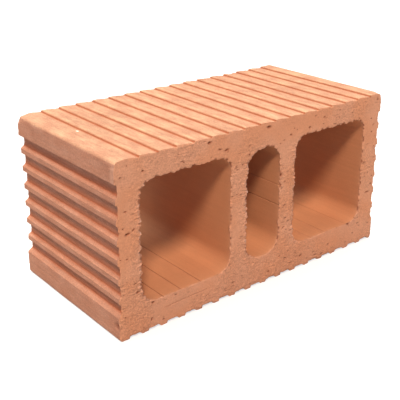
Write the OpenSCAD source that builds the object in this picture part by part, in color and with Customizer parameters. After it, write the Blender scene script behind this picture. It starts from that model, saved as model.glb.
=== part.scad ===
// Hollow clay block: one extruded and fired piece with three cells that run right through it.
// X runs across the three cells, Y runs along them and Z is up.
// The origin is the middle of the face that the block lies on.

/* [Block] */
// Size across the three cells
block_w = 400; // [300:5:600]
// Height as the block lies on its bottom teeth
block_h = 200; // [140:5:300]
// Length along the cells, from one wire-cut face to the other
block_l = 200; // [60:5:500]
// Rounding of the four long outer corners
corner_r = 4; // [1:0.5:8]

/* [Cells] */
// Clay between each side of the block and the end cell next to it
side_wall = 30; // [20:1:40]
// Clay above the end cells
roof_wall = 27.5; // [12:0.5:40]
// Clay below the end cells
floor_wall = 35; // [12:0.5:40]
// Clay between neighbouring cells
web = 25; // [12:1:36]
// Width of the narrow middle cell
slot_w = 50; // [30:1:70]
// How much further from the top and bottom faces the middle cell stays
slot_inset = 2; // [0:0.5:10]
// Corner rounding of the two end cells
cell_r = 18; // [4:1:30]
// Corner rounding of the middle cell
slot_r = 21; // [4:1:30]

/* [Stepped top and toothed bottom] */
// Distance from one top step to the next
step_pitch = 23.2; // [18:0.1:36]
// Distance from one bottom tooth to the next
tooth_pitch = 24.4; // [18:0.1:36]
// Smallest plain strip between the last step or groove and the corner
land_min = 8; // [6:1:20]
// How far the top steps sit from the middle, towards -X
step_shift = 4; // [0:0.5:6]
// Height of each small step across the top
step_rise = 1.6; // [0.5:0.1:3]
// Run of each steep step, on the -X side of its strip
step_lip = 0.6; // [0:0.1:1.5]
// Flat part of each strip, between its step and its slope
step_flat = 6; // [2:0.5:12]
// How far the bottom teeth sit from the middle, towards +X
tooth_shift = 3.5; // [0:0.5:4]
// Width of each bottom tooth's crest
tooth_w = 8; // [5:0.5:12]
// Depth of the grooves between the bottom teeth
tooth_depth = 2.8; // [1:0.1:5]
// Run of the steep slope on the +X side of each tooth
tooth_lip = 0.8; // [0:0.1:1.5]
// Run of the gentle slope on the -X side of each tooth
tooth_slope = 3.3; // [0:0.1:5]

/* [Ribbed sides] */
// Distance from one rib to the next
rib_pitch = 22; // [16:0.1:30]
// Width of each rib's flat crest
rib_crest = 6; // [3:0.5:8]
// Depth of the grooves between the ribs
rib_depth = 4.5; // [1:0.5:8]
// Run of the slope on the upper side of each rib
rib_slope = 3; // [0:0.5:7]
// Run of the steep wall on the lower side of each rib
rib_lip = 1.2; // [0:0.1:2]
// How far the crests sit inside the plain bands above and below them
rib_inset = 1.5; // [0.5:0.5:4]
// Smallest plain band above and below the ribs
band_min = 20; // [10:1:22]
// How far the ribs as a group sit above the middle of the side
rib_lift = 2; // [0:0.25:4]

/* [Hidden] */
$fn = 64;

// How far a cut reaches past the face that it opens
overcut = 1;

end_cell_w = (block_w - 2 * side_wall - 2 * web - slot_w) / 2;
end_cell_h = block_h - roof_wall - floor_wall;
end_cell_x = (slot_w + end_cell_w) / 2 + web;
cell_mid_z = floor_wall + end_cell_h / 2;
slot_h = end_cell_h - 2 * slot_inset;

step_slope = step_pitch - step_flat;
step_count = floor((block_w - 2 * land_min - step_slope) / step_pitch);
stepped_w = step_count * step_pitch + step_slope;

tooth_gap = tooth_pitch - tooth_w;
tooth_count = floor((block_w - 2 * land_min - tooth_gap) / tooth_pitch);
toothed_w = tooth_count * tooth_pitch + tooth_gap;

rib_gap = rib_pitch - rib_crest;
rib_gap_count = floor((block_h - 2 * band_min + rib_crest) / rib_pitch);
ribbed_h = rib_gap_count * rib_pitch - rib_crest;
top_band = (block_h - ribbed_h) / 2 - rib_lift;

// Rectangle about the origin with true arcs at its corners.
module rounded_rectangle(w, h, r) {
    square([w - 2 * r, h], center = true);
    square([w, h - 2 * r], center = true);
    for (x = [-1, 1], y = [-1, 1])
        translate([x * (w / 2 - r), y * (h / 2 - r)])
            circle(r);
}

// Cell about the origin. Its rounding is limited by its own width and height.
module cell(w, h, r) {
    rounded_rectangle(w, h, min(r, w / 2 - 0.01, h / 2 - 0.01));
}

// Section of one groove, cut down into a face that lies along the x axis.
module groove(mouth, depth, near_run, far_run) {
    polygon([
        [0, overcut],
        [0, 0],
        [near_run, -depth],
        [mouth - far_run, -depth],
        [mouth, 0],
        [mouth, overcut]
    ]);
}

// Shallow wedges of the top face. Each one slopes down across its strip and ends at the next steep step.
module top_steps() {
    translate([-stepped_w / 2 - step_shift, block_h])
        for (i = [0 : step_count])
            translate([i * step_pitch, 0])
                groove(step_slope, step_rise, step_slope - step_lip, step_lip);
}

// Grooves of the bottom face. Each one starts steeply and slopes gently back out to the next tooth.
module bottom_grooves() {
    translate([-toothed_w / 2 + tooth_shift, 0])
        mirror([0, 1])
            for (i = [0 : tooth_count])
                translate([i * tooth_pitch, 0])
                    groove(tooth_gap, tooth_depth, tooth_lip, tooth_slope);
}

// Grooves of the +X side, counted down from its top edge, in a shallow recess of their own.
// The lowest one stops short by the run of the recess's own slope.
module side_grooves() {
    translate([block_w / 2, block_h - top_band])
        rotate(-90) {
            groove(ribbed_h, rib_inset, 0, rib_inset);
            for (i = [0 : rib_gap_count - 1]) {
                mouth = i < rib_gap_count - 1 ? rib_gap : rib_gap - rib_inset;
                translate([i * rib_pitch, -rib_inset])
                    groove(mouth, rib_depth, rib_lip, rib_slope);
            }
        }
}

// The section that the die gives the clay column, drawn with z as y.
module section() {
    difference() {
        translate([0, block_h / 2])
            rounded_rectangle(block_w, block_h, corner_r);
        for (side = [-1, 1])
            translate([side * end_cell_x, cell_mid_z])
                cell(end_cell_w, end_cell_h, cell_r);
        translate([0, cell_mid_z])
            cell(slot_w, slot_h, slot_r);
        top_steps();
        bottom_grooves();
        side_grooves();
        mirror([1, 0])
            side_grooves();
    }
}

module clay_block() {
    color([0.80, 0.53, 0.42])
        rotate([90, 0, 0])
            linear_extrude(height = block_l, center = true)
                section();
}

clay_block();
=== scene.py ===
import math
import random
from collections import namedtuple

import bpy
import numpy as np
from bpy.props import FloatProperty, FloatVectorProperty, IntProperty, PointerProperty
from mathutils import Euler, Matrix, Vector, geometry, kdtree, noise


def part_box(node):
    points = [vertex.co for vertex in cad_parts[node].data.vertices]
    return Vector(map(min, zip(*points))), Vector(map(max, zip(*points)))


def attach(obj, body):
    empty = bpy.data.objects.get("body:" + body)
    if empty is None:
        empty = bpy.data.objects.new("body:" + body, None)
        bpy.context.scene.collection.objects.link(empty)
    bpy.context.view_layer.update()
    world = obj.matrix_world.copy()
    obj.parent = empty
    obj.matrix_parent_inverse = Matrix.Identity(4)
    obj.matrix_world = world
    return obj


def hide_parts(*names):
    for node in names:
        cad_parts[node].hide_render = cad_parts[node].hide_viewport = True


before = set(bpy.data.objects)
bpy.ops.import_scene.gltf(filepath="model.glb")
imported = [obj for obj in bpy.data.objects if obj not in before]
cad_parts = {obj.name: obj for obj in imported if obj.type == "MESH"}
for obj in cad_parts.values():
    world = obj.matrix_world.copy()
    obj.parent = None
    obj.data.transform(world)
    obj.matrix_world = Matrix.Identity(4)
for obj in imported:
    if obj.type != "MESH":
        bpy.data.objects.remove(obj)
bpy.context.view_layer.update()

bl_info = {
    "name": "Hollow Clay Block",
    "version": (1, 0, 0),
    "blender": (4, 5, 0),
    "location": "View3D > Sidebar > Clay Block",
    "description": "Builds an extruded, wire-cut and fired hollow clay block on a pale studio floor",
    "category": "Add Mesh",
}

BLOCK_LOW, BLOCK_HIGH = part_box("clay_block")
BLOCK_SIZE = BLOCK_HIGH - BLOCK_LOW
MM = 0.001

# Distances from a cut face, in millimetres, at which the wall has a ring of points. The first ones
# are fine, because the wire tears the clay there.
FINE_RINGS = (0.0, 0.5, 1.2, 2.2, 3.6, 5.5)
COARSE_RINGS = (8.0, 11.5)
RING_SPACING = 8.0 * MM

# Lengthwise lines that the die drew into the cells, in millimetres: how far each one lies from the
# start of its wall, and how deep it is. Floors start at -X, and the middle cell's wall at its foot.
LEFT_FLOOR_LINES = ((26.5, 1.0), (50.5, 1.0), (78.0, 0.9))
MIDDLE_WALL_LINES = ((57.0, 0.8), (82.0, 0.5))
RIGHT_FLOOR_LINES = ((33.0, 0.35), (59.0, 0.5), (97.0, 0.3))
LINE_HALF_WIDTH = 0.85 * MM

# Torn spots in the near cut face: x, z, half length and half width in millimetres, and tilt in degrees.
TORN_SPOTS = (
    (-185.8, 120.0, 2.9, 1.2, 12),
    (-179.3, 123.1, 2.1, 0.9, 30),
    (-166.0, 182.5, 1.3, 1.1, 0),
    (-176.0, 51.0, 1.9, 1.2, 0),
    (-157.0, 32.4, 1.8, 1.1, 0),
    (-159.0, 13.8, 1.4, 0.9, 40),
    (-188.0, 145.0, 1.8, 0.7, 0),
    (-56.5, 180.5, 3.2, 1.1, 8),
    (-66.0, 183.0, 2.6, 0.7, -6),
    (-80.5, 193.6, 2.6, 1.3, 10),
    (5.5, 193.6, 3.0, 1.4, -5),
    (40.5, 177.6, 1.4, 0.9, 0),
    (71.3, 180.0, 1.5, 1.2, 0),
    (27.0, 131.3, 2.1, 1.3, 60),
    (65.3, 15.6, 1.9, 1.1, 15),
    (151.8, 33.0, 2.4, 1.2, -20),
    (185.3, 69.3, 4.2, 0.8, 0),
    (115.7, 15.8, 1.3, 1.0, 0),
)

# The scratch in the near cut face, from one (x, z) to the other, its half width, its depth and how dark its
# painted shade is.
SCRATCH_START = Vector((-0.142, 0.0208))
SCRATCH_END = Vector((-0.084, 0.0225))
SCRATCH_HALF_WIDTH = 0.7 * MM
SCRATCH_DEPTH = 0.5 * MM
SCRATCH_SHADE = 0.5

# Dents in the outer walls: a centre, a radius and a depth in millimetres, and how dark the painted shade in
# them is.
DENTS = (
    ((-200.0, -95.5, 17.5), 4.5, 1.8, 1.0),
    ((-200.0, 62.0, 187.0), 5.0, 0.5, 0.3),
    ((-200.0, -100.0, 200.0), 9.0, 1.6, 0.0),
    ((200.0, -97.0, 169.0), 4.0, 0.8, 0.4),
    ((200.0, -100.0, 200.0), 8.0, 1.6, 0.0),
    ((120.0, 98.0, 200.0), 5.0, 1.2, 0.6),
)

# The far top corner at -X is worn off along these planes, given by a point and an outward direction.
WORN_CORNER = (
    (Vector((-0.195, 0.100, 0.200)), Vector((-0.90, 0.225, 0.375)).normalized()),
    (Vector((-0.182, 0.100, 0.200)), Vector((-0.20, 0.12, 1.0)).normalized()),
)

# Place of the one lime speck on the top face, and of the chalky end of the -X band.
LIME_SPECK = (-0.175, 0.008, 0.199)
CHALKY_END = (-0.200, -0.097, 0.183)

# How much of each outer corner is rounded off by its neighbours.
OUTER_SOFTNESS = 0.2

# Painted shade in the folds of the outer skin: how far it reaches before and after each fold, and how dark
# it gets at the ribs.
STEP_FOLD_SHADE = (2.8 * MM, 1.0 * MM)
RIB_FOLD_SHADE = (7.0 * MM, 1.3 * MM)
RIB_FOLD_SHADE_TONE = 0.75

# Painted highlight on the top: all over, and more on the crest that follows each step.
TOP_HIGHLIGHT = 0.4
CREST_HIGHLIGHT = 0.3
CREST_PLACE = 3.6 * MM
CREST_REACH = 3.0 * MM

# A cell's rim is bitten, crumbled and loosened by these shares: all round, then more at its -X side,
# its +X side and its roof. The wire lifts crumbs where it leaves the clay, and roofs tear in bites.
BITE_SHARES = (0.12, 0.20, 0.15, 0.40)
CRUMB_SHARES = (0.12, 0.65, 0.45, 0.45)
LOOSE_SHARES = (0.25, 0.75, 0.20, 0.0)

# The outer rim chips by this share of its full depth, less along the underside, and loosens evenly.
CHIP_SHARE = 0.6
CHIP_LESS_BELOW = 0.25
OUTER_LOOSE = 0.3

# How far from a cut face or a rim each mark of the wire reaches, and the painted shade in and beside its
# bites.
TEAR_REACH = 4.0 * MM
BITE_SHADE_REACH = 1.6 * MM
BITE_SHADE_BESIDE_REACH = 2.0 * MM
SMEAR_REACH = 3.6 * MM
RELIEF_REACH = 10 * MM
WALL_CRUMB_REACH = 3 * MM
FACE_CRUMB_REACH = 3.5 * MM
LOOSE_REACH = 14 * MM

# Bites: the share of a deep one's depth from which painted shade shows in them, how dark that shade gets,
# and how deep a deep one is, as a share of a full tear and of a full chip.
BITE_START = 0.15
BITE_SHADE = 0.9
DEEP_TEAR = 0.35
DEEP_CHIP = 0.6

# How rough a cut face is: everywhere, then more where the clay is loose, beside torn rims and at any rim.
ROUGHNESS_SHARES = (0.25, 0.6, 0.6, 1.6)

# Least and greatest half width of the small holes, their length in widths and their tilt in degrees,
# and how far they stay from any rim.
SMALL_HOLE_WIDTHS = (0.35 * MM, 0.75 * MM)
SMALL_HOLE_LENGTHS = (1.0, 2.6)
SMALL_HOLE_TILTS = (-15, 25)
SMALL_HOLE_CLEARANCE = 2.2 * MM

# How deep each of the holes is in half widths, and how far its slope and its painted shade reach in half
# sizes.
HOLE_DEPTH = 1.3
HOLE_SLOPE_REACH = 1.25
HOLE_SHADE_REACH = 1.5

# How far a cut face's grid stays from its rims and from the extra points, in spacings, and how far
# the extra points stay from the rims.
GRID_TO_RIM = 0.55
GRID_TO_DETAIL = 0.4
DETAIL_TO_RIM = 0.5 * MM

# Angle from which an edge between two faces is shown sharp.
SHARP_EDGE = math.radians(30)

# Steps along the noise that keep its uses apart, so that they don't repeat one another.
FINE_TEAR_PLACE = 0.5
LOOSE_PLACE = 3
WIDE_GRAIN_PLACE = 5
EDGE_WEAR_PLACE = 7

# Squeezing of the texture space that draws the grain out along one direction.
ALONG_X = (0.32, 0.7, 1.0)
ALONG_Y = (1.0, 0.3, 1.0)

# Places of the three finishes in the block's list of materials.
SKIN, CUT, CELL = range(3)

# Where the two lights come from, and the colours of both and of the room.
KEY_DIRECTION = (-0.366, -0.500, 0.785)
TOP_DIRECTION = (0.0, 0.45, 1.0)
KEY_COLOUR = (1.0, 0.82, 0.68)
TOP_COLOUR = (0.97, 0.99, 0.93)
ROOM_COLOUR = (0.57, 0.55, 1.0)

# Width of the camera's frame in millimetres.
SENSOR_WIDTH = 36.0


def metres(name, description, default):
    """A size that the panel shows."""
    return FloatProperty(name=name, description=description, default=default, unit="LENGTH")


def plain(name, description, default):
    """A number without a unit that the panel shows."""
    return FloatProperty(name=name, description=description, default=default)


def angle(name, description, default):
    """An angle that the panel shows."""
    return FloatProperty(name=name, description=description, default=default, subtype="ANGLE")


def swatch(name, description, default):
    """A colour that the panel shows."""
    return FloatVectorProperty(name=name, description=description, default=default, subtype="COLOR")


class BlockSize(bpy.types.PropertyGroup):
    """Sizes of the section that the die gives the clay."""

    side_wall: metres("Side wall", "Clay between a side and the end cell", 0.030)
    roof_wall: metres("Roof wall", "Clay above the end cells", 0.0275)
    floor_wall: metres("Floor wall", "Clay below the end cells", 0.035)
    web: metres("Web", "Clay between two cells", 0.025)
    slot_width: metres("Middle cell", "Width of the narrow middle cell", 0.050)
    slot_inset: metres("Middle cell inset", "How much further it stays from the top and bottom", 0.002)
    cell_radius: metres("End cell corners", "Corner rounding of the end cells", 0.018)
    slot_radius: metres("Middle cell corners", "Corner rounding of the middle cell", 0.021)
    corner_radius: metres("Outer corners", "Rounding of the four long corners", 0.004)
    step_pitch: metres("Step pitch", "Distance from top step to top step", 0.0232)
    tooth_pitch: metres("Tooth pitch", "Distance from tooth to tooth", 0.0244)
    land_min: metres("Smallest land", "Smallest plain strip at a corner", 0.008)
    step_shift: metres("Step shift", "How far the top steps sit towards -X", 0.004)
    step_rise: metres("Step rise", "Height of each step across the top", 0.0016)
    step_lip: metres("Step lip", "Run of each steep step", 0.0006)
    step_flat: metres("Step flat", "Flat part of each top strip", 0.006)
    tooth_shift: metres("Tooth shift", "How far the teeth sit towards +X", 0.0035)
    tooth_width: metres("Tooth width", "Width of a bottom tooth's crest", 0.008)
    tooth_depth: metres("Tooth depth", "Depth of the bottom grooves", 0.0028)
    tooth_lip: metres("Tooth lip", "Run of a tooth's steep +X side", 0.0008)
    tooth_slope: metres("Tooth slope", "Run of a tooth's gentle -X side", 0.0033)
    rib_pitch: metres("Rib pitch", "Distance from rib to rib", 0.022)
    rib_crest: metres("Rib crest", "Flat width of a rib's crest", 0.006)
    rib_depth: metres("Rib depth", "Depth of the grooves between ribs", 0.0045)
    rib_slope: metres("Rib slope", "Run of a rib's upper slope", 0.003)
    rib_lip: metres("Rib lip", "Run of a rib's steep lower wall", 0.0012)
    rib_inset: metres("Rib inset", "How far the crests sit inside the bands", 0.0015)
    band_min: metres("Smallest band", "Smallest plain band by the ribs", 0.020)
    rib_lift: metres("Rib lift", "How far the ribs sit above mid height", 0.002)


class ClayFinish(bpy.types.PropertyGroup):
    """How rough the clay is, and its colours after firing."""

    outline_spacing: metres("Outline spacing", "Distance between outline points", 0.00125)
    face_spacing: metres("Cut face spacing", "Distance between cut face points", 0.0014)
    wave: metres("Waviness", "Slow unevenness of the drawn walls", 0.0005)
    outer_chip: metres("Outer chips", "Depth of the chips along outer edges", 0.0009)
    cell_tear: metres("Torn rims", "How far the cells' rims are torn", 0.0017)
    smear: metres("Smear", "Clay the wire drags into the rib grooves", 0.0030)
    cut_grain: metres("Cut grain", "Relief of the wire-cut faces", 0.0004)
    hole_count: IntProperty(name="Small holes", description="Small pits in each cut face", default=60, min=0)
    seed: IntProperty(name="Seed", description="Start of the random draws", default=11)
    skin: swatch("Drawn skin", "Colour of the smooth faces", (0.504, 0.233, 0.140))
    skin_pale: swatch("Pale bloom", "Pale streaks on them", (0.640, 0.360, 0.247))
    # Colour of the painted highlight on the top's strips.
    crest: swatch("Crest highlight", "Painted highlight on the top strips", (0.69, 0.42, 0.235))
    cut: swatch("Cut clay", "Colour of the wire-cut faces", (0.693, 0.348, 0.206))
    cut_warm: swatch("Warm patches", "Warmer patches of them", (0.683, 0.317, 0.172))
    crumb: swatch("Crumbs", "Crumbled clay at rims", (0.75, 0.46, 0.32))
    # Redder and brighter than the skin: painted bounce light inside the cells.
    cell: swatch("Cell walls", "Colour inside the cells", (0.588, 0.264, 0.126))
    # Colour of the painted shade in holes, pores, bites, dents and the scratch, and of the dark drawn lines.
    deep: swatch("Shade and line colour", "Colour of holes and torn spots", (0.22, 0.065, 0.03))
    # Colour of the painted shade in the skin's folds and steps.
    crease: swatch("Painted fold shade", "Colour of folds and steps in the skin", (0.38, 0.095, 0.028))
    lime: swatch("Lime", "Colour of lime specks", (0.95, 0.90, 0.78))


class StudioSettings(bpy.types.PropertyGroup):
    """Camera, lights and floor."""

    aim: FloatVectorProperty(
        name="Aim",
        description="Point the camera looks at",
        default=(0.0, 0.0157, 0.1233),
        subtype="TRANSLATION",
    )
    distance: metres("Distance", "From the camera to that point", 0.9648)
    azimuth: angle("Azimuth", "Turn of the camera about Z", math.radians(-39.07))
    elevation: angle("Elevation", "Camera above the horizon", math.radians(20.1))
    lens: plain("Lens", "Focal length in mm on a 36 mm frame", 69.9)
    shift: plain("Shift", "Vertical lens shift in frame widths", -0.1)
    key_strength: plain("Key light", "Watts per square metre", 3.0)
    key_spread: angle("Key spread", "Width of the key light in the sky", 0.22)
    top_strength: plain("Top light", "Watts per square metre", 3.35)
    top_spread: angle("Top spread", "Width of the top light in the sky", 1.2)
    room_light: plain("Room light", "Strength of the even light", 0.235)
    floor_colour: swatch("Floor", "Colour of the studio floor", (0.46, 0.45, 0.43))
    floor_glow: plain("Floor glow", "Light the floor itself shows", 0.62)


# ---- section


def arc(centre, radius, start, steps=8):
    """Points of a quarter circle about centre, counter-clockwise from the start angle in degrees."""
    angles = [math.radians(start + 90 * i / steps) for i in range(steps + 1)]
    return [(centre[0] + radius * math.cos(a), centre[1] + radius * math.sin(a)) for a in angles]


def top_slopes(size, width):
    """(start, foot, end) of each slope of the top. It sinks to its foot, where the step rises."""
    slope = size.step_pitch - size.step_flat
    count = math.floor((width - 2 * size.land_min - slope) / size.step_pitch)
    first = -(count * size.step_pitch + slope) / 2 - size.step_shift
    starts = [first + i * size.step_pitch for i in range(count + 1)]
    return [(start, start + slope - size.step_lip, start + slope) for start in starts]


def stepped_line(size, width):
    """(x, depth) along the top face, from -X to +X."""
    points = []
    for start, foot, end in top_slopes(size, width):
        points += [(start, 0.0), (foot, size.step_rise), (end, 0.0)]
    return points


def toothed_line(size, width):
    """(x, depth) along the bottom face, from -X to +X."""
    gap = size.tooth_pitch - size.tooth_width
    count = math.floor((width - 2 * size.land_min - gap) / size.tooth_pitch)
    start = -(count * size.tooth_pitch + gap) / 2 + size.tooth_shift
    points = []
    for i in range(count + 1):
        x = start + i * size.tooth_pitch
        points += [
            (x, 0.0),
            (x + size.tooth_lip, size.tooth_depth),
            (x + gap - size.tooth_slope, size.tooth_depth),
            (x + gap, 0.0),
        ]
    return points


def rib_grooves(size, height):
    """How far below the top each groove of a side starts, and how wide its mouth is."""
    gap = size.rib_pitch - size.rib_crest
    count = math.floor((height - 2 * size.band_min + size.rib_crest) / size.rib_pitch)
    top = (height - count * size.rib_pitch + size.rib_crest) / 2 - size.rib_lift
    mouths = [gap] * (count - 1) + [gap - size.rib_inset]
    return [(top + i * size.rib_pitch, mouth) for i, mouth in enumerate(mouths)]


def ribbed_line(size, height):
    """(distance down from the top, depth) along a side face."""
    floor = size.rib_inset + size.rib_depth
    points = []
    for start, mouth in rib_grooves(size, height):
        points += [
            (start, size.rib_inset if points else 0.0),
            (start + size.rib_lip, floor),
            (start + mouth - size.rib_slope, floor),
            (start + mouth, size.rib_inset),
        ]
    return points + [(points[-1][0] + size.rib_inset, 0.0)]


def outer_corners(size):
    """The outer outline as (x, z), counter-clockwise as seen from the near end."""
    half, height, r = BLOCK_SIZE.x / 2, BLOCK_SIZE.z, size.corner_radius
    steps, teeth = stepped_line(size, BLOCK_SIZE.x), toothed_line(size, BLOCK_SIZE.x)
    ribs = ribbed_line(size, height)
    return (
        arc((-half + r, r), r, 180)
        + teeth
        + arc((half - r, r), r, 270)
        + [(half - d, height - t) for t, d in reversed(ribs)]
        + arc((half - r, height - r), r, 0)
        + [(x, height - d) for x, d in reversed(steps)]
        + arc((-half + r, height - r), r, 90)
        + [(-half + d, height - t) for t, d in ribs]
    )


def line_breaks(lines):
    """Where an outline needs points so that drawn lines keep their shape."""
    return [at * MM + step * LINE_HALF_WIDTH for at, _ in lines for step in (-1, 0, 1)]


def cell_corners(x, z, width, height, radius, floor_lines, wall_lines):
    """A cell's outline as (x, z), counter-clockwise, with points for lines on its floor and +X wall."""
    left, right, low, high = x - width / 2, x + width / 2, z - height / 2, z + height / 2
    return (
        arc((left + radius, low + radius), radius, 180)
        + [(left + at, low) for at in line_breaks(floor_lines)]
        + arc((right - radius, low + radius), radius, 270)
        + [(right, low + at) for at in line_breaks(wall_lines)]
        + arc((right - radius, high - radius), radius, 0)
        + arc((left + radius, high - radius), radius, 90)
    )


def spread(corners, spacing):
    """A closed outline with points no further apart than the spacing. Corners get even numbers, so
    that taking every second point keeps them."""
    points = []
    for (ax, az), (bx, bz) in zip(corners, corners[1:] + corners[:1]):
        length = math.hypot(bx - ax, bz - az)
        if length < 1e-7:
            continue
        steps = 2 * max(1, round(length / spacing / 2))
        points += [(ax + (bx - ax) * i / steps, az + (bz - az) * i / steps) for i in range(steps)]
    return np.array(points)


def soften(points, share):
    """Rounds an outline's corners a little. Straight stretches stay where they are."""
    return (1 - share) * points + share / 2 * (np.roll(points, 1, 0) + np.roll(points, -1, 0))


def normals_of(points):
    """Unit vectors to the right of the outline's direction."""
    along = np.roll(points, -1, 0) - np.roll(points, 1, 0)
    along /= np.linalg.norm(along, axis=1)[:, None]
    return np.stack([along[:, 1], -along[:, 0]], 1)


# One closed outline, with the direction into the clay, how dark it is at each point (painted fold shade
# on the outer skin, drawn lines in the cells), how much painted highlight it has, and whether it is a
# cell's.
Loop = namedtuple("Loop", "points inward crease pale cell")


def carve_lines(loop, at_axis, level_axis, level, start, lines, direction):
    """Presses lengthwise lines into the straight wall that lies at the level."""
    for at, depth in lines:
        far = np.abs(loop.points[:, at_axis] - (start + at * MM)) / LINE_HALF_WIDTH
        near = (far < 1) & (np.abs(loop.points[:, level_axis] - level) < MM)
        loop.points[near, level_axis] += direction * depth * MM * (1 - far[near])
        loop.crease[near] = np.maximum(loop.crease[near], (1 - far[near]) * min(1, depth))


def fold_shade(before, reach_before, reach_after):
    """Share of painted fold shade: 1 at a fold and 0 past its reach, where before is the distance left to
    the fold.
    """
    return np.clip(np.where(before > 0, 1 - before / reach_before, 1 + before / reach_after), 0, 1)


def rib_fold_shade(size, points):
    """Painted shade at each point of the outer outline, in the fold at the foot of a rib's upper slope."""
    in_groove = BLOCK_SIZE.x / 2 - np.abs(points[:, 0]) > 1.05 * size.rib_inset
    dark = np.zeros(len(points))
    for start, mouth in rib_grooves(size, BLOCK_SIZE.z):
        before = start + mouth - size.rib_slope - (BLOCK_SIZE.z - points[:, 1])
        dark = np.maximum(dark, np.where(in_groove, RIB_FOLD_SHADE_TONE * fold_shade(before, *RIB_FOLD_SHADE), 0))
    return dark


def outer_loop(size, finish):
    """The outer outline, with painted shade in the folds at its steps and ribs, and a painted highlight on
    the top that is strongest on the crest after each step.
    """
    points = soften(spread(outer_corners(size), finish.outline_spacing), OUTER_SOFTNESS)
    at_top = points[:, 1] > BLOCK_SIZE.z - 2 * size.step_rise
    # Painted shade in the fold at the foot of each rib's slope and at the foot of each top step.
    crease = rib_fold_shade(size, points)
    # Painted highlight all over the top, stronger on the crest of each strip.
    pale = np.where(at_top, TOP_HIGHLIGHT, 0.0)
    for _, foot, _ in top_slopes(size, BLOCK_SIZE.x):
        before = foot - points[:, 0]
        crease = np.maximum(crease, np.where(at_top, fold_shade(before, *STEP_FOLD_SHADE), 0))
        crest = np.clip(1 - np.abs(before + CREST_PLACE) / CREST_REACH, 0, 1)
        pale = np.maximum(pale, np.where(at_top, TOP_HIGHLIGHT + CREST_HIGHLIGHT * crest, 0))
    return Loop(points, -normals_of(points), crease, pale, False)


def section_loops(size, finish):
    """The outer outline and the three cells, ready to be drawn out into walls."""
    cell_width = (BLOCK_SIZE.x - 2 * size.side_wall - 2 * size.web - size.slot_width) / 2
    cell_height = BLOCK_SIZE.z - size.roof_wall - size.floor_wall
    cell_x = (size.slot_width + cell_width) / 2 + size.web
    cell_z = size.floor_wall + cell_height / 2
    slot_height = cell_height - 2 * size.slot_inset

    loops = [outer_loop(size, finish)]
    for x, width, height, radius, floor_lines, wall_lines in (
        (-cell_x, cell_width, cell_height, size.cell_radius, LEFT_FLOOR_LINES, ()),
        (0.0, size.slot_width, slot_height, size.slot_radius, (), MIDDLE_WALL_LINES),
        (cell_x, cell_width, cell_height, size.cell_radius, RIGHT_FLOOR_LINES, ()),
    ):
        corners = cell_corners(x, cell_z, width, height, radius, floor_lines, wall_lines)
        points = spread(corners, finish.outline_spacing)
        unmarked = np.zeros(len(points))
        loop = Loop(points, normals_of(points), unmarked, unmarked.copy(), True)
        low = cell_z - height / 2
        carve_lines(loop, 0, 1, low, x - width / 2, floor_lines, -1)
        carve_lines(loop, 1, 0, x + width / 2, low, wall_lines, 1)
        loops.append(loop)
    return loops


# ---- relief


def rough(x, y, z, grain):
    """Smooth noise from about -1 to 1 whose lumps are about as large as the grain."""
    return noise.noise(Vector((x / grain, y / grain, z / grain)))


def torn_edge(loop, finish, end):
    """How far each point of an outline lies inside the clay at a cut face, and how crumbly it is there."""
    tear, crumbly = np.zeros((2, len(loop.points)))
    for i, ((x, z), (nx, nz)) in enumerate(zip(loop.points, loop.inward)):
        coarse = 1.6 * rough(x, end, z, 9 * MM)
        fine = 1.7 * rough(x, end + FINE_TEAR_PLACE, z, 3.0 * MM)
        if loop.cell:
            sides = (1.0, max(0.0, -nx), max(0.0, nx), max(0.0, nz))
            torn = np.dot(BITE_SHARES, sides) * coarse + np.dot(CRUMB_SHARES, sides) * fine
            tear[i] = finish.cell_tear * torn
            crumbly[i] = np.dot(LOOSE_SHARES, sides)
        else:
            share = CHIP_SHARE - CHIP_LESS_BELOW * max(0.0, nz)
            tear[i] = finish.outer_chip * share * max(0.0, 0.5 * coarse + 0.5 * fine)
            crumbly[i] = OUTER_LOOSE
    return tear, crumbly


def dented(places, y):
    """How far dents press in each point of a ring of the outer wall, and how dark the painted shade in them
    is there.
    """
    depth, dark = np.zeros((2, len(places)))
    for (dx, dy, dz), radius, deep, darkness in DENTS:
        if abs(y / MM - dy) <= radius:
            to_centre = (places[:, 0] / MM - dx, y / MM - dy, places[:, 1] / MM - dz)
            far = np.sqrt(sum(offset**2 for offset in to_centre)) / radius
            share = np.clip(1.15 - far, 0, 1) ** 0.7
            depth = np.maximum(depth, deep * MM * share)
            dark = np.maximum(dark, darkness * share)
    return depth, dark


def faded(distance, reach):
    """1 at no distance and 0 from the reach on."""
    return np.clip(1 - distance / reach, 0, 1)


def bitten(tear, deep):
    """How dark the painted shade is in the bites of a rim, where the dark ones are about this deep."""
    return BITE_SHADE * np.clip(tear / deep - BITE_START, 0, 1)


def wall_depth(loop, tear, y, from_end, finish):
    """How far each point of an outline is pressed into the clay at a distance from a cut face."""
    depth = np.zeros(len(loop.points))
    fade = faded(from_end, TEAR_REACH) ** 2
    for i, (x, z) in enumerate(loop.points):
        slow = rough(x, y, z, 70 * MM) + 0.5 * rough(x, y, z, 24 * MM)
        drawn = rough(x, 0.2 * y, z, 3.2 * MM)
        depth[i] = finish.wave * (0.4 + 0.5 * slow) + 0.07 * MM * drawn
    if not loop.cell:
        depth = np.maximum(depth, 0.0)
    return depth + fade * tear


def smeared(points, size, finish, from_end):
    """How far the wire drags clay outwards at the near ends of the rib grooves."""
    half, full_depth = BLOCK_SIZE.x / 2, size.rib_inset + size.rib_depth
    sunk = np.clip((half - np.abs(points[:, 0])) / full_depth, 0, 1)
    beside = np.abs(points[:, 1] - BLOCK_SIZE.z / 2) < BLOCK_SIZE.z / 2 - 0.8 * size.band_min
    near_side = np.abs(points[:, 0]) > half - 1.5 * full_depth
    return np.where(beside & near_side, sunk, 0) * finish.smear * faded(from_end, SMEAR_REACH)


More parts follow.
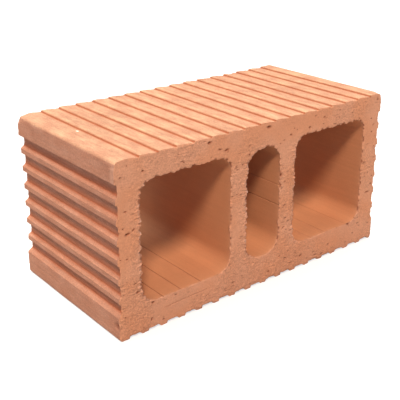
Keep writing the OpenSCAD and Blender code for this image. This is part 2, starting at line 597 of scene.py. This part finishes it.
def worn_off(spots):
    """Moves points that stick out past the worn corner's planes back onto them."""
    for corner, direction in WORN_CORNER:
        out = (spots - np.array(corner)) @ np.array(direction)
        spots = spots - np.clip(out, 0, None)[:, None] * np.array(direction)
    return spots


def inside(outlines, points):
    """Whether each point lies in the clay between the outlines."""
    x, z = points[:, 0], points[:, 1]
    hits = np.zeros(len(points), bool)
    for outline in outlines:
        for (ax, az), (bx, bz) in zip(outline, np.roll(outline, -1, 0)):
            if az != bz:
                crosses = (az > z) != (bz > z)
                hits ^= crosses & (x < ax + (bx - ax) * (z - az) / (bz - az))
    return hits


def nearest(points, to):
    """Distance from each point to the nearest of the others, and which one that is."""
    tree = kdtree.KDTree(len(to))
    for i, (x, z) in enumerate(to):
        tree.insert((x, 0.0, z), i)
    tree.balance()
    found = [tree.find((x, 0.0, z)) for x, z in points]
    return np.array([f[2] for f in found]), np.array([f[1] for f in found])


def face_grid(rims, spacing):
    """Staggered points all over the clay of a cut face, clear of its rims."""
    low, high = rims[0].min(0), rims[0].max(0)
    row_height = spacing * math.sqrt(3) / 2
    rows = []
    for row, z in enumerate(np.arange(low[1] + row_height / 2, high[1], row_height)):
        x = np.arange(low[0] + spacing * (0.25 + 0.5 * (row % 2)), high[0], spacing)
        rows.append(np.stack([x, np.full(len(x), z)], 1))
    points = np.concatenate(rows)
    points = points[inside(rims, points)]
    return points[nearest(points, np.concatenate(rims))[0] > spacing * GRID_TO_RIM]


def small_holes(rims, finish, rng):
    """The small holes that the wire tears open, in the same form as the torn spots."""
    low, high = rims[0].min(0), rims[0].max(0)
    tries = range(4 * finish.hole_count)
    spots = np.array([(rng.uniform(low[0], high[0]), rng.uniform(low[1], high[1])) for _ in tries])
    spots = spots[inside(rims, spots)]
    clear = nearest(spots, np.concatenate(rims))[0] > SMALL_HOLE_CLEARANCE
    holes = []
    for x, z in spots[clear][: finish.hole_count]:
        width = rng.uniform(*SMALL_HOLE_WIDTHS)
        long = width * rng.uniform(*SMALL_HOLE_LENGTHS)
        holes.append((x, z, long, width, rng.uniform(*SMALL_HOLE_TILTS)))
    return holes


def looseness(x, z, end):
    """How coarse and loose the clay is at a place of a cut face, from 0 to 1."""
    at = end + LOOSE_PLACE
    patch = 0.5 + 1.1 * rough(x, at, z, 42 * MM) + 0.5 * rough(x, at, z, 17 * MM)
    return min(1.0, max(0.0, patch))


def cut_relief(points, rim, web, end, finish, holes, scratched):
    """How deep each point of a cut face lies, how dark the painted shade of holes and the scratch is there,
    and how loose the clay is.
    """
    depth, dark, loose = np.zeros((3, len(points)))
    even, by_loose, by_web, by_rim = ROUGHNESS_SHARES
    for i, (x, z) in enumerate(points):
        loose[i] = min(1.0, looseness(x, z, end) + web[i])
        fine = 1.6 * rough(0.5 * x, end, z, 2.0 * MM)
        grain = fine + 0.6 * rough(0.6 * x, end + WIDE_GRAIN_PLACE, z, 5 * MM)
        rougher = even + by_loose * loose[i] + by_web * web[i] + by_rim * rim[i]
        slow = 1.3 + 0.5 * rough(x, end, z, 14 * MM)
        depth[i] = finish.cut_grain * (slow + rougher * (grain + 0.5 * rim[i]))
    depth = np.maximum(depth, 0.02 * MM)
    # The holes sink in and get painted shade, and so does the scratch below.
    for x, z, long, wide, tilt in holes:
        cosine, sine = math.cos(math.radians(tilt)), math.sin(math.radians(tilt))
        dx, dz = points[:, 0] - x, points[:, 1] - z
        far = np.hypot((dx * cosine + dz * sine) / long, (dz * cosine - dx * sine) / wide)
        depth += HOLE_DEPTH * wide * np.clip(HOLE_SLOPE_REACH - far, 0, 1)
        dark = np.maximum(dark, np.clip(HOLE_SHADE_REACH - far, 0, 1))
    if scratched:
        line = np.array(SCRATCH_END - SCRATCH_START)
        offset = points - np.array(SCRATCH_START)
        along = np.clip(offset @ line / (line @ line), 0, 1)
        far = np.linalg.norm(offset - along[:, None] * line, axis=1) / SCRATCH_HALF_WIDTH
        depth += SCRATCH_DEPTH * np.clip(1 - far, 0, 1)
        dark = np.maximum(dark, SCRATCH_SHADE * np.clip(1.1 - far, 0, 1))
    return depth, dark, loose


def detail_points(holes, scratched):
    """Extra points that give holes and the scratch their shape."""
    points = []
    for x, z, long, wide, tilt in holes:
        turn = math.radians(tilt)
        points.append((x, z))
        for i in range(8):
            a = 2 * math.pi * i / 8 + x / MM
            for reach in (0.7, 1.3):
                along, across = reach * long * math.cos(a), reach * wide * math.sin(a)
                points.append((
                    x + along * math.cos(turn) - across * math.sin(turn),
                    z + along * math.sin(turn) + across * math.cos(turn),
                ))
    if scratched:
        line = SCRATCH_END - SCRATCH_START
        side = Vector((-line.y, line.x)).normalized() * SCRATCH_HALF_WIDTH
        steps = round(line.length / (1.6 * MM))
        for i in range(steps + 1):
            spot = SCRATCH_START + line * i / steps
            points += [tuple(spot), tuple(spot + side), tuple(spot - side)]
    return np.array(points)


# ---- mesh


class BlockMesh:
    """Gathers the block's points, faces and the values that its materials read."""

    def __init__(self):
        self.points, self.faces, self.finishes = [], [], []
        self.values = {"rim": [], "hole": [], "loose": [], "crease": [], "pale": []}

    def add_points(self, places, **values):
        first = len(self.points)
        self.points += [tuple(p) for p in places]
        for name, kept in self.values.items():
            kept += list(values.get(name, [0.0] * len(places)))
        return list(range(first, first + len(places)))

    def add_face(self, corners, finish):
        self.faces.append(corners)
        self.finishes.append(finish)


def stitch(mesh, near, far, finish):
    """Joins two rings of a wall, where each ring has as many points or one of them half as many."""
    if len(near) == len(far):
        for i in range(len(near)):
            j = (i + 1) % len(near)
            mesh.add_face((near[i], near[j], far[j], far[i]), finish)
        return
    fine, coarse, flipped = (near, far, False) if len(near) > len(far) else (far, near, True)
    for i in range(len(coarse)):
        a, b = coarse[i], coarse[(i + 1) % len(coarse)]
        p, q, r = fine[2 * i], fine[2 * i + 1], fine[(2 * i + 2) % len(fine)]
        for corners in ((p, q, a), (q, b, a), (q, r, b)):
            mesh.add_face(corners[::-1] if flipped else corners, finish)


def ring_places():
    """(distance from the near end, whether fine) of each ring along the block."""
    length = BLOCK_SIZE.y
    near = [(d * MM, True) for d in FINE_RINGS] + [(d * MM, False) for d in COARSE_RINGS]
    middle_start = near[-1][0] + RING_SPACING
    steps = round((length - 2 * middle_start) / RING_SPACING)
    middle = [middle_start + (length - 2 * middle_start) * i / steps for i in range(steps + 1)]
    return near + [(d, False) for d in middle] + [(length - d, fine) for d, fine in reversed(near)]


def keep_in_box(places):
    """Holds a ring's points inside the block's overall section."""
    places[:, 0] = np.clip(places[:, 0], BLOCK_LOW.x, BLOCK_HIGH.x)
    places[:, 1] = np.clip(places[:, 1], BLOCK_LOW.z, BLOCK_HIGH.z)


def build_wall(mesh, loop, size, finish, reliefs):
    """Draws an outline out into a wall. Returns point numbers, places, crumbliness and the painted shade
    of its bites and dents at both ends."""
    length, start = BLOCK_SIZE.y, BLOCK_LOW.y
    torn = [torn_edge(loop, finish, end) for end in (0.0, 1.0)]
    previous, ends = None, []
    for distance, fine in ring_places():
        far_half = distance > length / 2
        from_end = length - distance if far_half else distance
        tear, crumbly = torn[far_half]
        depth = wall_depth(loop, tear, distance, from_end, finish)
        deep = DEEP_TEAR * finish.cell_tear if loop.cell else DEEP_CHIP * finish.outer_chip
        # Painted shade in the bites of the torn rim.
        hollow = bitten(tear, deep) * faded(from_end, BITE_SHADE_REACH)
        if not loop.cell:
            # Painted shade in the dents of the outer wall.
            pressed, dark = dented(loop.points, start + distance)
            depth += pressed
            hollow = np.maximum(hollow, dark)
        places = loop.points + loop.inward * depth[:, None]
        if not loop.cell:
            if not far_half:
                places[:, 0] += np.sign(places[:, 0]) * smeared(places, size, finish, from_end)
            keep_in_box(places)
        sunk = from_end + reliefs[far_half] * faded(from_end, RELIEF_REACH)
        y = start + (length - sunk if far_half else sunk)
        spots = np.stack([places[:, 0], y, places[:, 1]], 1)
        if not loop.cell:
            spots = worn_off(spots)
        rim = crumbly * math.exp(-from_end / WALL_CRUMB_REACH)
        step = 1 if fine else 2
        values = {"rim": rim, "hole": hollow, "crease": loop.crease, "pale": loop.pale}
        ring = mesh.add_points(spots[::step], **{name: kept[::step] for name, kept in values.items()})
        if previous:
            pair = (previous, ring) if loop.cell else (ring, previous)
            stitch(mesh, *pair, CELL if loop.cell else SKIN)
        previous = ring
        if from_end == 0:
            ends.append((ring, spots[:, [0, 2]], crumbly, hollow))
    return ends


def all_holes(outlines, finish, near_end):
    """The holes of a cut face. The near one has the large torn spots as well as small holes."""
    holes = small_holes(outlines, finish, random.Random(finish.seed + (0 if near_end else 1)))
    if near_end:
        holes += [(x * MM, z * MM, long * MM, wide * MM, tilt) for x, z, long, wide, tilt in TORN_SPOTS]
    return holes


def face_points(outlines, edge, holes, spacing, near_end):
    """Where a cut face has points between its rims: a grid, and extra ones at its holes."""
    extra = detail_points(holes, near_end)
    extra = extra[inside(outlines, extra)]
    extra = extra[nearest(extra, edge)[0] > DETAIL_TO_RIM]
    grid = face_grid(outlines, spacing)
    return np.concatenate([grid[nearest(grid, extra)[0] > spacing * GRID_TO_DETAIL], extra])


def fill_face(mesh, outlines, places, numbers, near_end):
    """Triangles between the outlines, whose points come first among the places."""
    edges, first = [], 0
    for outline in outlines:
        count = len(outline)
        edges += [(first + i, first + (i + 1) % count) for i in range(count)]
        first += count
    flat = [Vector(p) for p in places]
    _, _, faces, sources, _, _ = geometry.delaunay_2d_cdt(flat, edges, [], 0, 1e-7)
    triangles = np.array([[sources[v][0] for v in face] for face in faces])
    for corners in triangles[inside(outlines, places[triangles].mean(1))]:
        (ax, az), (bx, bz), (cx, cz) = places[corners]
        counter_clockwise = (bx - ax) * (cz - az) - (bz - az) * (cx - ax) > 0
        order = corners if counter_clockwise == near_end else corners[::-1]
        mesh.add_face(tuple(numbers[c] for c in order), CUT)


def build_cut_face(mesh, rims, finish, near_end):
    """Closes one end of the block with its wire-cut face."""
    rings, outlines, crumbliness, rim_shades = zip(*rims)
    edge, crumbly = np.concatenate(outlines), np.concatenate(crumbliness)
    holes = all_holes(outlines, finish, near_end)
    inner = face_points(outlines, edge, holes, finish.face_spacing, near_end)
    distance, which = nearest(inner, edge)
    rim = crumbly[which] * np.exp(-distance / FACE_CRUMB_REACH)
    web = crumbly[which] ** 2 * np.exp(-distance / LOOSE_REACH)
    depth, dark, loose = cut_relief(inner, rim, web, 0.0 if near_end else 1.0, finish, holes, near_end)
    # Painted shade on the cut face beside the bites of its rims.
    bite_shade_beside = np.concatenate(rim_shades)[which] * faded(distance, BITE_SHADE_BESIDE_REACH)
    y = BLOCK_LOW.y + depth if near_end else BLOCK_HIGH.y - depth
    spots = np.stack([inner[:, 0], y, inner[:, 1]], 1)
    inner_numbers = mesh.add_points(spots, rim=rim, hole=np.maximum(dark, bite_shade_beside), loose=loose)
    numbers = [n for ring in rings for n in ring] + inner_numbers
    fill_face(mesh, outlines, np.concatenate([edge, inner]), numbers, near_end)


def edge_relief(loop, finish, end):
    """Depth of a cut face along an outline, with the edge itself worn a little rounder."""
    _, crumbly = torn_edge(loop, finish, end)
    depth, _, _ = cut_relief(loop.points, crumbly, crumbly, end, finish, [], False)
    at = end + EDGE_WEAR_PLACE
    worn = [0.15 + 0.35 * max(0.0, rough(x, at, z, 5 * MM)) for x, z in loop.points]
    return depth + np.array(worn) * MM


def block_mesh(size, finish):
    """The whole block as one closed mesh."""
    gathered = BlockMesh()
    near_rims, far_rims = [], []
    for loop in section_loops(size, finish):
        reliefs = [edge_relief(loop, finish, end) for end in (0.0, 1.0)]
        near, far = build_wall(gathered, loop, size, finish, reliefs)
        near_rims.append(near)
        far_rims.append(far)
    build_cut_face(gathered, near_rims, finish, True)
    build_cut_face(gathered, far_rims, finish, False)
    data = bpy.data.meshes.new("fired_block")
    data.from_pydata(gathered.points, [], gathered.faces)
    data.polygons.foreach_set("material_index", gathered.finishes)
    for name, values in gathered.values.items():
        data.attributes.new(name, "FLOAT", "POINT").data.foreach_set("value", values)
    data.polygons.foreach_set("use_smooth", [True] * len(data.polygons))
    data.set_sharp_from_angle(angle=SHARP_EDGE)
    data.update()
    return data


# ---- materials


def place(tree, kind, label, inputs=None, **settings):
    """A new node with its settings. Inputs may be values or other nodes' outputs."""
    node = tree.nodes.new(kind)
    node.label = label
    for key, value in settings.items():
        setattr(node, key, value)
    for key, value in (inputs or {}).items():
        if isinstance(value, bpy.types.NodeSocket):
            tree.links.new(value, node.inputs[key])
        else:
            node.inputs[key].default_value = value
    return node


def number(tree, label, operation, a, b=0.0, c=0.0):
    """Output of a Math node."""
    return place(tree, "ShaderNodeMath", label, {0: a, 1: b, 2: c}, operation=operation).outputs[0]


def remap(tree, label, value, low, high, to_low=0.0, to_high=1.0):
    """Value rescaled from one range to another and held inside it."""
    inputs = {"Value": value, "From Min": low, "From Max": high, "To Min": to_low, "To Max": to_high}
    return place(tree, "ShaderNodeMapRange", label, inputs).outputs["Result"]


def blend(tree, label, share, a, b, mode="MIX"):
    """Output of a colour Mix node."""
    inputs = {0: share, 6: a, 7: b}
    return place(tree, "ShaderNodeMix", label, inputs, data_type="RGBA", blend_type=mode).outputs[2]


def tinted(tree, label, mask, strength, colour, tint):
    """Colour with a tint laid over it where a mask is, at a strength."""
    share = number(tree, f"share of {label}", "MULTIPLY", mask, strength)
    return blend(tree, label, share, colour, opaque(tint))


def grey(tree, label, value):
    """A value as a grey colour."""
    return place(tree, "ShaderNodeCombineColor", label, {0: value, 1: value, 2: value}).outputs[0]


def noise_at(tree, label, vector, scale, detail=2.0, roughness=0.5):
    """Output of a Noise Texture node, from 0 to 1."""
    inputs = {"Vector": vector, "Scale": scale, "Detail": detail, "Roughness": roughness}
    return place(tree, "ShaderNodeTexNoise", label, inputs).outputs["Fac"]


def stretched(tree, label, vector, scale):
    """Coordinates scaled by a different amount along each axis."""
    return place(tree, "ShaderNodeMapping", label, {"Vector": vector, "Scale": scale}).outputs["Vector"]


def spot_mask(tree, label, vector, centre, stretch, reach):
    """1 at a place and 0 past the reach, where the stretch squeezes distances along each axis."""
    kind = "ShaderNodeVectorMath"
    offset = place(tree, kind, label, {0: vector, 1: centre}, operation="SUBTRACT").outputs[0]
    scaled = place(tree, kind, label, {0: offset, 1: stretch}, operation="MULTIPLY").outputs[0]
    far = place(tree, kind, label, {0: scaled}, operation="LENGTH").outputs["Value"]
    return remap(tree, label, far, reach, 0.6 * reach)


def new_group(name, inputs, outputs):
    """An empty shader node group with named sockets, its tree and its two end nodes."""
    tree = bpy.data.node_groups.new(name, "ShaderNodeTree")
    for label, kind, default in inputs:
        socket = tree.interface.new_socket(label, in_out="INPUT", socket_type=kind)
        if default is not None:
            socket.default_value = default
    for label, kind in outputs:
        tree.interface.new_socket(label, in_out="OUTPUT", socket_type=kind)
    return tree, tree.nodes.new("NodeGroupInput"), tree.nodes.new("NodeGroupOutput")


def clay_mottle_group():
    """Slow colour changes and fine speckle that every face of fired clay has."""
    tree, given, made = new_group(
        "clay_mottle",
        [
            ("Vector", "NodeSocketVector", None),
            ("Colour", "NodeSocketColor", (0.6, 0.27, 0.15, 1.0)),
            ("Blotches", "NodeSocketFloat", 0.1),
            ("Speckle", "NodeSocketFloat", 0.1),
        ],
        [("Colour", "NodeSocketColor")],
    )
    vector = given.outputs["Vector"]
    slow = remap(tree, "slow blotches", noise_at(tree, "blotches", vector, 16, 3, 0.55), 0.3, 0.7, -1, 1)
    fine = remap(tree, "fine speckle", noise_at(tree, "speckle", vector, 620, 2, 0.6), 0.3, 0.7, -1, 1)
    lift = number(tree, "blotch share", "MULTIPLY", slow, given.outputs["Blotches"])
    lift = number(tree, "with speckle", "MULTIPLY_ADD", fine, given.outputs["Speckle"], lift)
    gain = grey(tree, "gain", number(tree, "above one", "ADD", lift, 1.0))
    colour = blend(tree, "mottled", 1.0, given.outputs["Colour"], gain, "MULTIPLY")
    tree.links.new(colour, made.inputs["Colour"])
    return tree


def drawn_streak_group():
    """Streaks along Y, as a die leaves on clay that is pushed through it, and a patchy pale bloom."""
    tree, given, made = new_group(
        "drawn_streaks",
        [("Vector", "NodeSocketVector", None), ("Fineness", "NodeSocketFloat", 300.0)],
        [("Streaks", "NodeSocketFloat"), ("Bloom", "NodeSocketFloat")],
    )
    vector = stretched(tree, "long in Y", given.outputs["Vector"], (1.0, 0.05, 1.0))
    streaks = noise_at(tree, "streaks", vector, given.outputs["Fineness"], 3, 0.6)
    wide = stretched(tree, "patches", given.outputs["Vector"], (1.0, 0.4, 1.0))
    bloom = noise_at(tree, "bloom", wide, 95, 4, 0.65)
    tree.links.new(remap(tree, "streak range", streaks, 0.3, 0.7), made.inputs["Streaks"])
    tree.links.new(remap(tree, "bloom range", bloom, 0.42, 0.68), made.inputs["Bloom"])
    return tree


def clay_grain_group():
    """Height of the dry, sandy surface, from lumps to fine grit, and where small pores are."""
    tree, given, made = new_group(
        "clay_grain",
        [
            ("Vector", "NodeSocketVector", None),
            ("Stretch", "NodeSocketVector", (1.0, 1.0, 1.0)),
            ("Lumps", "NodeSocketFloat", 0.5),
            ("Grit", "NodeSocketFloat", 0.5),
        ],
        [("Height", "NodeSocketFloat"), ("Pores", "NodeSocketFloat")],
    )
    vector = stretched(tree, "drawn out", given.outputs["Vector"], given.outputs["Stretch"])
    lumps = noise_at(tree, "lumps", vector, 330, 3, 0.6)
    grit = noise_at(tree, "grit", vector, 1000, 2, 0.7)
    cells = place(tree, "ShaderNodeTexVoronoi", "pores", {"Vector": vector, "Scale": 240.0})
    rare = remap(tree, "where pores are", noise_at(tree, "pore patches", vector, 75, 2, 0.5), 0.48, 0.6)
    near = remap(tree, "pore size", cells.outputs["Distance"], 0.26, 0.1)
    pits = number(tree, "pore mask", "MULTIPLY", near, rare)
    height = number(tree, "lump height", "MULTIPLY", lumps, given.outputs["Lumps"])
    height = number(tree, "grit height", "MULTIPLY_ADD", grit, given.outputs["Grit"], height)
    height = number(tree, "less pores", "MULTIPLY_ADD", pits, -0.6, height)
    tree.links.new(height, made.inputs["Height"])
    tree.links.new(pits, made.inputs["Pores"])
    return tree


def opaque(colour):
    """A property colour with full alpha."""
    return (*colour, 1.0)


def new_material(name, roughness, specular):
    """A material with its Principled shader, and its tree."""
    material = bpy.data.materials.new(name)
    material.use_nodes = True
    tree = material.node_tree
    shader = tree.nodes["Principled BSDF"]
    shader.inputs["Roughness"].default_value = roughness
    shader.inputs["Specular IOR Level"].default_value = specular
    return material, tree, shader


def object_vector(tree):
    """Coordinates fixed to the object, in metres."""
    return place(tree, "ShaderNodeTexCoord", "place on the block").outputs["Object"]


def point_value(tree, name):
    """A value stored at the mesh's points."""
    return place(tree, "ShaderNodeAttribute", name, attribute_name=name).outputs["Fac"]


def show(tree, shader, colour, height, distance, strength):
    """Gives the shader its colour, and lets a height tilt its normal."""
    tree.links.new(colour, shader.inputs["Base Color"])
    inputs = {"Height": height, "Distance": distance, "Strength": strength}
    bump = place(tree, "ShaderNodeBump", "surface relief", inputs)
    tree.links.new(bump.outputs["Normal"], shader.inputs["Normal"])


def use_group(tree, group, vector, **inputs):
    """Outputs of a node group with its inputs set."""
    inputs["Vector"] = vector
    return place(tree, "ShaderNodeGroup", group.name, inputs, node_tree=group).outputs


def mottled(tree, group, vector, colour, blotches, speckle):
    """Colour with the clay's mottle over it."""
    return use_group(tree, group, vector, Colour=colour, Blotches=blotches, Speckle=speckle)["Colour"]


def toned(tree, colour, streaks, low, high):
    """Colour made darker and paler along the drawn streaks."""
    tone = grey(tree, "streak grey", remap(tree, "streak tone", streaks["Streaks"], 0.0, 1.0, low, high))
    return blend(tree, "streaked", 1.0, colour, tone, "MULTIPLY")


def drawn_skin_material(finish, groups):
    """Smooth outer faces: die streaks, pale bloom, painted shade in the folds and dents, a painted highlight
    on the top, and a lime speck.
    """
    material, tree, shader = new_material("drawn_skin", 0.85, 0.25)
    vector = object_vector(tree)
    streaks = use_group(tree, groups["streaks"], vector, Fineness=330.0)
    colour = tinted(tree, "bloom", streaks["Bloom"], 0.45, opaque(finish.skin), finish.skin_pale)
    # Painted highlight on the top, patchy where the bloom is.
    patchy = remap(tree, "patchy highlight", streaks["Bloom"], 0.0, 1.0, 0.5, 1.7)
    colour = tinted(tree, "crest highlight", point_value(tree, "pale"), patchy, colour, finish.crest)
    colour = toned(tree, colour, streaks, 0.9, 1.08)
    colour = mottled(tree, groups["mottle"], vector, colour, 0.06, 0.17)
    # Painted shade in the folds of the top steps and the ribs.
    colour = tinted(tree, "painted_fold_shade", point_value(tree, "crease"), 0.95, colour, finish.crease)
    chalk = spot_mask(tree, "chalky end", vector, CHALKY_END, (1.0, 1.0, 0.4), 6 * MM)
    colour = tinted(tree, "chalk", chalk, 0.3, colour, finish.crumb)
    # Painted shade in the dents and in the bites of the outer rim.
    colour = tinted(tree, "painted shade in dents", point_value(tree, "hole"), 0.7, colour, finish.deep)
    speck = spot_mask(tree, "lime speck", vector, LIME_SPECK, (1.0, 0.7, 1.0), 1.8 * MM)
    colour = blend(tree, "with lime", speck, colour, opaque(finish.lime))
    grain = use_group(tree, groups["grain"], vector, Stretch=ALONG_Y, Lumps=0.25, Grit=0.35)
    height = number(tree, "streak height", "MULTIPLY_ADD", streaks["Streaks"], 0.4, grain["Height"])
    show(tree, shader, colour, height, 0.4 * MM, 0.8)
    return material


def cut_clay_material(finish, groups):
    """Wire-cut faces: sandy grain, pores, holes and crumbled rims, with painted shade in the pores, the
    holes, the scratch and beside bitten rims.
    """
    material, tree, shader = new_material("cut_clay", 0.92, 0.2)
    vector = object_vector(tree)
    loose = point_value(tree, "loose")
    grain = use_group(tree, groups["grain"], vector, Stretch=ALONG_X, Lumps=0.5, Grit=0.85)
    patches = remap(tree, "warm patches", noise_at(tree, "patches", vector, 22, 2, 0.5), 0.4, 0.6)
    colour = blend(tree, "patchy clay", patches, opaque(finish.cut), opaque(finish.cut_warm))
    crumbs = remap(tree, "crumb patches", noise_at(tree, "crumbs", vector, 420, 2, 0.6), 0.5, 0.62)
    rim = remap(tree, "near the rim", point_value(tree, "rim"), 0.25, 0.8)
    colour = tinted(tree, "crumbled rim", crumbs, rim, colour, finish.crumb)
    speckle = remap(tree, "loose speckle", loose, 0.0, 1.0, 0.06, 0.2)
    colour = mottled(tree, groups["mottle"], vector, colour, 0.03, speckle)
    # Painted shade in the pores, the holes, the scratch and beside bitten rims.
    pores = number(tree, "pores where loose", "MULTIPLY", grain["Pores"], loose)
    pores = number(tree, "painted pore shade", "MULTIPLY", pores, 0.82)
    sunk = number(tree, "holes and pores", "MAXIMUM", point_value(tree, "hole"), pores)
    colour = blend(tree, "dark in holes", sunk, colour, opaque(finish.deep))
    looser = remap(tree, "looser", loose, 0.0, 1.0, 0.35, 1.2)
    height = number(tree, "loose height", "MULTIPLY", grain["Height"], looser)
    show(tree, shader, colour, height, 1.0 * MM, 0.9)
    return material


def cell_skin_material(finish, groups):
    """Walls of the cells: smooth and finely streaked, with dark drawn lines and painted shade in the bites
    of their rims. Their colour, redder and brighter than the skin's, is painted bounce light.
    """
    material, tree, shader = new_material("cell_skin", 0.82, 0.25)
    vector = object_vector(tree)
    streaks = use_group(tree, groups["streaks"], vector, Fineness=240.0)
    colour = toned(tree, opaque(finish.cell), streaks, 0.96, 1.03)
    colour = tinted(tree, "paler at the rim", point_value(tree, "rim"), 0.5, colour, finish.crumb)
    colour = mottled(tree, groups["mottle"], vector, colour, 0.05, 0.03)
    # Dark drawn lines, and painted shade in the bites of the rims.
    lines = number(tree, "drawn lines", "MULTIPLY", point_value(tree, "crease"), 0.85)
    sunk = number(tree, "lines and bites", "MAXIMUM", point_value(tree, "hole"), lines)
    colour = blend(tree, "dark lines and bite shade", sunk, colour, opaque(finish.deep))
    grain = use_group(tree, groups["grain"], vector, Stretch=ALONG_Y, Lumps=0.2, Grit=0.3)
    height = number(tree, "streak height", "MULTIPLY_ADD", streaks["Streaks"], 0.3, grain["Height"])
    show(tree, shader, colour, height, 0.2 * MM, 0.6)
    return material


# ---- operators


def add_object(name, data):
    """A new object in the scene."""
    added = bpy.data.objects.new(name, data)
    bpy.context.scene.collection.objects.link(added)
    return added


class CLAYBLOCK_OT_block(bpy.types.Operator):
    """Build the fired clay block"""

    bl_idname = "clayblock.block"
    bl_label = "Fired Block"

    def execute(self, context):
        scene = context.scene
        size, finish = scene.clay_block_size, scene.clay_block_finish
        block = add_object("fired_block", block_mesh(size, finish))
        groups = {
            "mottle": clay_mottle_group(),
            "streaks": drawn_streak_group(),
            "grain": clay_grain_group(),
        }
        for make in (drawn_skin_material, cut_clay_material, cell_skin_material):
            block.data.materials.append(make(finish, groups))
        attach(block, "root")
        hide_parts("clay_block")
        return {"FINISHED"}


def sun_light(name, direction, spread_angle, strength, colour):
    """A light from a far direction. A wide spread makes its shadows soft."""
    data = bpy.data.lights.new(name, "SUN")
    data.angle, data.energy, data.color = spread_angle, strength, colour
    light = add_object(name, data)
    light.rotation_euler = Vector(direction).to_track_quat("Z", "Y").to_euler()
    light.location = Vector(direction).normalized() * 2


def studio_room(strength):
    """A white room around the stage whose own light is weak."""
    world = bpy.data.worlds.new("studio_room")
    world.use_nodes = True
    tree = world.node_tree
    backdrop = place(tree, "ShaderNodeBackground", "white backdrop", {"Strength": 1.0})
    backdrop.inputs["Color"].default_value = (1.0, 1.0, 1.0, 1.0)
    room = tree.nodes["Background"]
    room.inputs["Color"].default_value = opaque(ROOM_COLOUR)
    room.inputs["Strength"].default_value = strength
    seen = place(tree, "ShaderNodeLightPath", "seen directly").outputs["Is Camera Ray"]
    shares = {0: seen, 1: room.outputs[0], 2: backdrop.outputs[0]}
    mix = place(tree, "ShaderNodeMixShader", "room or backdrop", shares)
    tree.links.new(mix.outputs[0], tree.nodes["World Output"].inputs["Surface"])
    return world


def studio_floor(studio):
    """A wide pale disc under the block, like a light table."""
    sides, radius = 96, 4.0
    ring = [
        (radius * math.cos(2 * math.pi * i / sides), radius * math.sin(2 * math.pi * i / sides), 0.0)
        for i in range(sides)
    ]
    data = bpy.data.meshes.new("studio_floor")
    data.from_pydata(ring, [], [tuple(range(sides))])
    floor = add_object("studio_floor", data)
    material, tree, shader = new_material("studio_floor", 0.9, 0.1)
    tone = noise_at(tree, "paper grain", object_vector(tree), 900)
    paler = opaque([min(1.0, c * 1.02) for c in studio.floor_colour])
    shade = blend(tree, "paper", tone, opaque(studio.floor_colour), paler)
    tree.links.new(shade, shader.inputs["Base Color"])
    seen = place(tree, "ShaderNodeLightPath", "seen directly").outputs["Is Camera Ray"]
    glow = number(tree, "glow of the light table", "MULTIPLY", seen, studio.floor_glow)
    tree.links.new(grey(tree, "white glow", glow), shader.inputs["Emission Color"])
    shader.inputs["Emission Strength"].default_value = 1.0
    data.materials.append(material)
    return floor


def studio_camera(studio):
    """The camera, with no roll and no depth of field."""
    data = bpy.data.cameras.new("studio_camera")
    data.sensor_width = SENSOR_WIDTH
    data.lens = studio.lens
    data.shift_y = studio.shift
    camera = add_object("studio_camera", data)
    a, e = studio.azimuth, studio.elevation
    back = Vector((math.sin(a) * math.cos(e), -math.cos(a) * math.cos(e), math.sin(e)))
    camera.location = Vector(studio.aim) + back * studio.distance
    camera.rotation_euler = Euler((math.pi / 2 - e, 0.0, a))
    return camera


class CLAYBLOCK_OT_stage(bpy.types.Operator):
    """Set up the floor, the lights and the camera"""

    bl_idname = "clayblock.stage"
    bl_label = "Studio Stage"

    def execute(self, context):
        scene = context.scene
        studio = scene.clay_block_studio
        studio_floor(studio)
        sun_light("key_light", KEY_DIRECTION, studio.key_spread, studio.key_strength, KEY_COLOUR)
        sun_light("top_light", TOP_DIRECTION, studio.top_spread, studio.top_strength, TOP_COLOUR)
        scene.world = studio_room(studio.room_light)
        scene.camera = studio_camera(studio)
        scene.view_settings.view_transform = "Standard"
        return {"FINISHED"}


class CLAYBLOCK_PT_panel(bpy.types.Panel):
    """Sizes, finish and build steps of the clay block"""

    bl_idname = "CLAYBLOCK_PT_panel"
    bl_label = "Clay Block"
    bl_space_type = "VIEW_3D"
    bl_region_type = "UI"
    bl_category = "Clay Block"

    def draw(self, context):
        layout = self.layout
        for settings in (
            context.scene.clay_block_size,
            context.scene.clay_block_finish,
            context.scene.clay_block_studio,
        ):
            column = layout.column(align=True)
            for name in settings.__annotations__:
                column.prop(settings, name)
        for operator in (CLAYBLOCK_OT_block, CLAYBLOCK_OT_stage):
            layout.operator(operator.bl_idname)


CLASSES = (
    BlockSize,
    ClayFinish,
    StudioSettings,
    CLAYBLOCK_OT_block,
    CLAYBLOCK_OT_stage,
    CLAYBLOCK_PT_panel,
)


def register():
    for cls in CLASSES:
        bpy.utils.register_class(cls)
    bpy.types.Scene.clay_block_size = PointerProperty(type=BlockSize)
    bpy.types.Scene.clay_block_finish = PointerProperty(type=ClayFinish)
    bpy.types.Scene.clay_block_studio = PointerProperty(type=StudioSettings)


def unregister():
    del bpy.types.Scene.clay_block_studio
    del bpy.types.Scene.clay_block_finish
    del bpy.types.Scene.clay_block_size
    for cls in reversed(CLASSES):
        bpy.utils.unregister_class(cls)


def main():
    """Builds the block and its stage."""
    register()
    bpy.ops.clayblock.block()
    bpy.ops.clayblock.stage()


if __name__ == "__main__":
    main()
